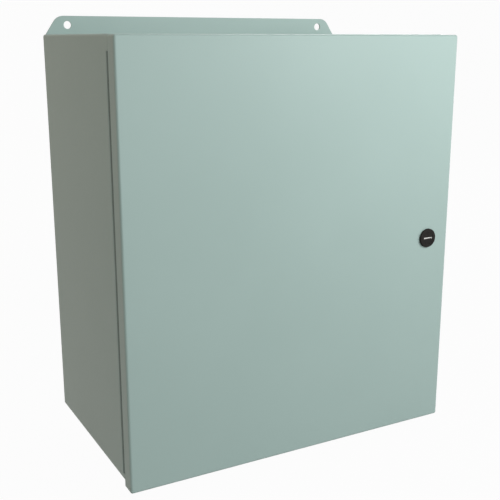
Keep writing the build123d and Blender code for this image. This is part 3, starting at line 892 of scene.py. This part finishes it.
# %% The finishes
POWDER = {"Peel Size": 420.0, "Mottle Size": 9.0}
LATCH_COAT = {
    "group": peel, "sizes": {"Peel Size": 2600.0, "Mottle Size": 200.0},
    "tones": [(0.010, 0.009, 0.008), (0.016, 0.014, 0.012)],
    "roughness": (0.34, 0.44), "bump": 0.02, "shine": 0.12,
}
paint = finish(
    "grey-green powder coat", peel, POWDER,
    [(0.388, 0.514, 0.482), (0.400, 0.528, 0.496)],
    roughness=(0.40, 0.46), bump=0.03, shine=0.3)
# Painted shade: the hinge's tones are set darker than the enclosure's paint to stand in for the
# shade in the hinge gap.
hinge_paint_with_painted_shade = finish(
    "grey-green hinge paint darkened as painted shade", peel, {"Peel Size": 900.0},
    [(0.18, 0.23, 0.21), (0.21, 0.26, 0.24)],
    roughness=(0.45, 0.55), bump=0.02, shine=0.3)
white_paint = finish(
    "white powder coat", peel, POWDER,
    [(0.74, 0.74, 0.72), (0.78, 0.78, 0.76)],
    roughness=(0.36, 0.42), bump=0.03, shine=0.3)
black_coat = finish("black coat on the latch", **LATCH_COAT)
slot_coat = finish("black coat with a bare slot", **LATCH_COAT)
rubber = finish(
    "black rubber", peel, {"Peel Size": 3000.0, "Mottle Size": 300.0},
    [(0.012, 0.012, 0.012), (0.022, 0.022, 0.022)],
    roughness=(0.6, 0.75), bump=0.03, shine=0.12)
foam = finish(
    "dark foam skin", peel, {"Peel Size": 1500.0, "Mottle Size": 60.0},
    [(0.030, 0.031, 0.033), (0.050, 0.051, 0.053)],
    roughness=(0.7, 0.85), bump=0.25)
zinc = finish(
    "zinc plate", drawn, {"Streak Size": 700.0, "Stretch": 0.5},
    [(0.38, 0.39, 0.39), (0.47, 0.48, 0.47)],
    roughness=(0.30, 0.44), bump=0.01, metallic=1.0)
stud_steel = finish(
    "copper-flashed stud steel", drawn, {"Streak Size": 900.0, "Stretch": 0.4},
    [(0.50, 0.39, 0.32), (0.58, 0.48, 0.41)],
    roughness=(0.32, 0.44), bump=0.01, metallic=1.0)
pin_steel = finish(
    "drawn pin steel", drawn, {"Streak Size": 1500.0, "Stretch": 0.04},
    [(0.36, 0.36, 0.35), (0.44, 0.44, 0.43)],
    roughness=(0.28, 0.40), bump=0.01, metallic=1.0)
print("finishes:", len(bpy.data.materials))


# %% [markdown]
# ## The bare slot
# A screwdriver wears the coat off the latch's slot at once, and the bright zinc under it is what
# the eye finds first. The slot's faces could carry a second material, but the CAD node's mesh is
# left as it is, so a mask picks them out by place. It is three tests on the Object coordinates:
# inside the slot's length, in a band a little below its middle, and deeper than the insert's face.

# %% Bare metal in the slot
insert_low, _ = node_box("latch_insert")
SLOT_HALF_LENGTH, BAND_DROP, BAND_HALF = 5.6, 0.15, 0.6
FACE_SINK, SLOT_HALF_DEPTH = 0.03, 1.2
BARE_ZINC = (0.62, 0.62, 0.60, 1)


def within(tree, value, middle, reach):
    """1 where a coordinate is less than reach from middle, both in millimetres."""
    test = add_node(tree, "ShaderNodeMath", {1: middle * MM, 2: reach * MM}, operation="COMPARE")
    tree.links.new(value, test.inputs[0])
    return test.outputs[0]


tree = slot_coat.node_tree
shader = tree.nodes["Principled BSDF"]
place = add_node(tree, "ShaderNodeTexCoord")
split = add_node(tree, "ShaderNodeSeparateXYZ")
tree.links.new(place.outputs["Object"], split.inputs["Vector"])
slot_middle = insert_low[1] + FACE_SINK + SLOT_HALF_DEPTH
in_length = within(tree, split.outputs["X"], LATCH[0], SLOT_HALF_LENGTH)
in_band = within(tree, split.outputs["Z"], LATCH[1] - BAND_DROP, BAND_HALF)
in_depth = within(tree, split.outputs["Y"], slot_middle, SLOT_HALF_DEPTH)
both = add_node(tree, "ShaderNodeMath", operation="MULTIPLY")
bare = add_node(tree, "ShaderNodeMath", operation="MULTIPLY")
coated = shader.inputs["Base Color"].links[0].from_socket
over = add_node(tree, "ShaderNodeMix", data_type="RGBA")
over.inputs["B"].default_value = BARE_ZINC
join(tree,
     (in_length, both.inputs[0]), (in_band, both.inputs[1]),
     (both.outputs[0], bare.inputs[0]), (in_depth, bare.inputs[1]),
     (bare.outputs[0], over.inputs["Factor"]), (coated, over.inputs["A"]),
     (over.outputs["Result"], shader.inputs["Base Color"]),
     (bare.outputs[0], shader.inputs["Metallic"]))
print("slot is bare from", insert_low[1] + FACE_SINK, "mm inwards")


# %% [markdown]
# ## Who wears what
# The folded sheets wear the paint, and the hardware its plating. The pin, the insert, the gasket
# and the small parts behind the latch stay the frame's own solids: their true shape is already
# there, so they only need a material.

# %% Give every piece its finish
def dress(things, material):
    """Puts one finish on each piece or node."""
    for thing in things:
        thing.data.materials.clear()
        thing.data.materials.append(material)


def cad(*names):
    """The frame's own objects, by name."""
    return [nodes[name] for name in names]


outfits = [
    ([door_sheet, body_sheet, back_sheet], paint),
    (leaves, hinge_paint_with_painted_shade),
    (studs, stud_steel),
    ([latch_body], black_coat),
    ([foam_bead], foam),
    ([panel_plate], white_paint),
    (fasteners + cad("stop_washer", "latch_cam", "cam_washer", "cam_screw"), zinc),
    (cad("hinge_pin"), pin_steel),
    (cad("latch_insert"), slot_coat),
    (cad("latch_gasket", "shaft_seal"), rubber),
]
for things, material in outfits:
    dress(things, material)
    print(material.name, "on", len(things), "pieces")


# %% [markdown]
# ## Floor and backdrop
# A product photograph is taken on a sheet of paper that runs from the floor up the wall in one
# soft bend. More light would turn the sheet white, but bleach the object with it. So the sheet is
# grey to the lamps, and rays from the camera, from glossy surfaces and through glass see it nearly
# white. A small share of its own shading is kept, and with it the soft shadow on the floor.

# %% Floor and backdrop
FLOOR_GREY, FLOOR_ROUGHNESS, WHITE_SHARE = 0.3, 0.9, 0.97


def seen_directly(tree):
    """1 for a ray from the camera, from a glossy surface or through glass, and 0 for the rest."""
    ray = add_node(tree, "ShaderNodeLightPath")
    first = add_node(tree, "ShaderNodeMath", operation="MAXIMUM")
    either = add_node(tree, "ShaderNodeMath", operation="MAXIMUM")
    join(tree,
         (ray.outputs["Is Camera Ray"], first.inputs[0]),
         (ray.outputs["Is Glossy Ray"], first.inputs[1]),
         (first.outputs[0], either.inputs[0]),
         (ray.outputs["Is Transmission Ray"], either.inputs[1]))
    return either.outputs[0]


def swept_backdrop(half_width, front, back, height, bend, steps=16):
    """A floor line, a quarter circle and a wall line, drawn out sideways, in metres."""
    turn = np.linspace(-np.pi / 2, 0, steps)
    curve = np.stack([back - bend + bend * np.cos(turn), bend + bend * np.sin(turn)], -1)
    line = np.concatenate([[[front, 0.0]], curve, [[back, height]]])
    points = [np.insert(line, 0, x, axis=1) for x in (-half_width, half_width)]
    return np.concatenate(points), grid_quads(2, len(line), wrap_cols=False)


floor_z = back_low[2] * MM
points, faces = swept_backdrop(half_width=4.0, front=-4.0, back=2.2, height=3.5, bend=1.0)
mesh = bpy.data.meshes.new("backdrop")
mesh.from_pydata((points + [0, 0, floor_z]).tolist(), [], faces.tolist())
mesh.shade_smooth()
backdrop = bpy.data.objects.new("backdrop", mesh)
bpy.context.scene.collection.objects.link(backdrop)
print("floor at", floor_z, "m")

# %% Paper that is white to the camera
paper = bpy.data.materials.new("pale backdrop")
paper.use_nodes = True
tree = paper.node_tree
grey = tree.nodes["Principled BSDF"]
grey.inputs["Base Color"].default_value = (FLOOR_GREY, FLOOR_GREY, FLOOR_GREY, 1)
grey.inputs["Roughness"].default_value = FLOOR_ROUGHNESS
grey.inputs["Specular IOR Level"].default_value = 0.0
glow = add_node(tree, "ShaderNodeEmission", {"Color": (1, 1, 1, 1), "Strength": 1.0})
share = add_node(tree, "ShaderNodeMath", {1: WHITE_SHARE}, operation="MULTIPLY")
blend = add_node(tree, "ShaderNodeMixShader")
join(tree,
     (seen_directly(tree), share.inputs[0]),
     (share.outputs[0], blend.inputs[0]),
     (grey.outputs[0], blend.inputs[1]),
     (glow.outputs[0], blend.inputs[2]),
     (blend.outputs[0], tree.nodes["Material Output"].inputs["Surface"]))
dress([backdrop], paper)
print(paper.name, "shows", WHITE_SHARE, "white to the camera")


# %% [markdown]
# ## World and lamps
# One sun lamp would give hard shadows, and a bright world none. A studio has broad soft boxes. A
# wide one in front and one at the right light the door, and a small near one lifts its upper right.
# A weak warm one behind on the left tints the shaded side, and one behind on the right picks out
# the top. The world adds a low even level, so the paint shows about as it is written.

# %% World
AMBIENT = 0.15
world = bpy.data.worlds.new("soft room")
bpy.context.scene.world = world
world.use_nodes = True
tree = world.node_tree
room = tree.nodes["Background"]
room.inputs["Color"].default_value = (1, 1, 1, 1)
level = add_node(tree, "ShaderNodeMath", {1: AMBIENT}, operation="MAXIMUM")
join(tree, (seen_directly(tree), level.inputs[0]), (level.outputs[0], room.inputs["Strength"]))
print(world.name, "lights everything at", AMBIENT)

# %% Lamps
WHITE, WARM = (1.0, 1.0, 1.0), (1.0, 0.61, 0.10)


def area_lamp(name, place, target, size, power, colour):
    """A square lamp at a place, turned to a target: metres and watts."""
    light = bpy.data.lights.new(name, "AREA")
    light.size, light.energy, light.color = size, power, colour
    lamp = bpy.data.objects.new(name, light)
    lamp.location = place
    lamp.rotation_euler = (Vector(target) - Vector(place)).to_track_quat("-Z", "Y").to_euler()
    bpy.context.scene.collection.objects.link(lamp)
    print(name, "lamp", size, "m wide,", power, "W")


area_lamp("front", (-0.5, -2.2, 0.5), (0.0, -0.2, 0.0), 1.4, 14.8, WHITE)
area_lamp("right", (1.5, -1.5, 0.3), (0.05, -0.2, 0.0), 1.0, 9.6, WHITE)
area_lamp("near", (0.3, -0.7, 0.35), (0.05, -0.2, 0.1), 0.3, 1.9, WHITE)
area_lamp("left behind", (-1.6, 0.9, 0.9), (-0.15, -0.1, 0.0), 1.2, 4.4, WARM)
area_lamp("right behind", (1.2, 1.4, 1.1), (0.0, 0.0, 0.0), 1.2, 20.0, WHITE)


# %% [markdown]
# ## Camera
# The camera stands a little above the cabinet's middle and to its left, as for the photograph. It
# could be set by eye, but edges measured in the picture fix place, angle and lens much closer.

# %% Camera at the photograph's angle
LENS, SENSOR = 60.06, 36.0
CAMERA_PLACE, TURN_RIGHT, LOOK_DOWN = (-0.4118, -0.8712, 0.1994), 28.54, 14.24
camera_data = bpy.data.cameras.new("camera")
camera_data.lens, camera_data.sensor_width = LENS, SENSOR
camera = bpy.data.objects.new("camera", camera_data)
camera.location = CAMERA_PLACE
camera.rotation_euler = (
    math.pi / 2 - math.radians(LOOK_DOWN), 0.0, -math.radians(TURN_RIGHT))
bpy.context.scene.collection.objects.link(camera)
bpy.context.scene.camera = camera
bpy.context.scene.view_settings.view_transform = "Standard"
print("camera at", CAMERA_PLACE, "with a", LENS, "mm lens")
